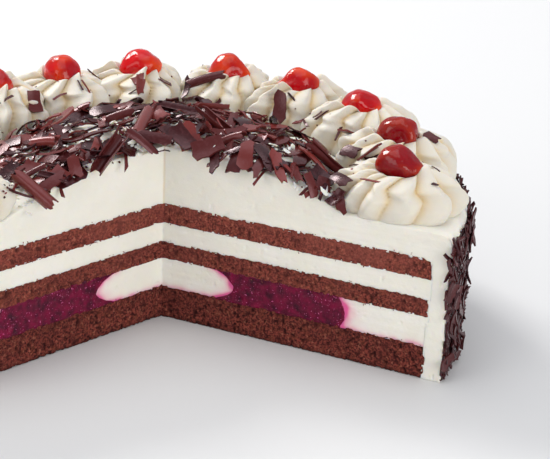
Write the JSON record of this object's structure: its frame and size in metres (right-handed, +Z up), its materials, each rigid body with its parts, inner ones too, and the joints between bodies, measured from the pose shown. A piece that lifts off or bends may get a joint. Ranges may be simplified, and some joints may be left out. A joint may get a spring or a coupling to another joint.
{
  "type": "black forest cake",
  "caption": "Round layered chocolate sponge cake with whipped cream, cherry filling, piped rosettes with glace cherries and chocolate shavings, a wedge cut out.",
  "frame": {"origin": "middle of the cake's footprint box, on the surface it stands on", "axes": "+Z up; the missing wedge opens towards -Y, symmetric about the YZ plane; +X to the right when looking into the wedge"},
  "size_m": [0.2808, 0.2186, 0.0979],
  "materials": {
    "sponge": "crumbly matte dark chocolate sponge",
    "cream": "soft satin whipped cream",
    "cherry_filling": "moist glossy cherry jelly",
    "cherry": "glossy translucent glace cherry",
    "chocolate": "satin dark chocolate"
  },
  "bodies": {
    "root": {"sponge_bottom": "sponge", "filling_cream_heart": "cream", "filling_cherry": "cherry_filling", "filling_cream_ring": "cream", "sponge_middle": "sponge", "cream_middle": "cream", "sponge_top": "sponge", "cream_coat": "cream", "shavings_top": "chocolate", "shavings_side": "chocolate", "rosette_01": "cream", "rosette_02": "cream", "rosette_03": "cream", "rosette_04": "cream", "rosette_05": "cream", "rosette_06": "cream", "rosette_07": "cream", "rosette_08": "cream", "rosette_09": "cream", "rosette_10": "cream", "rosette_11": "cream", "cherry_01": "cherry", "cherry_02": "cherry", "cherry_03": "cherry", "cherry_04": "cherry", "cherry_05": "cherry", "cherry_06": "cherry", "cherry_07": "cherry", "cherry_08": "cherry", "cherry_09": "cherry", "cherry_10": "cherry", "cherry_11": "cherry"}
  },
  "joints": []
}
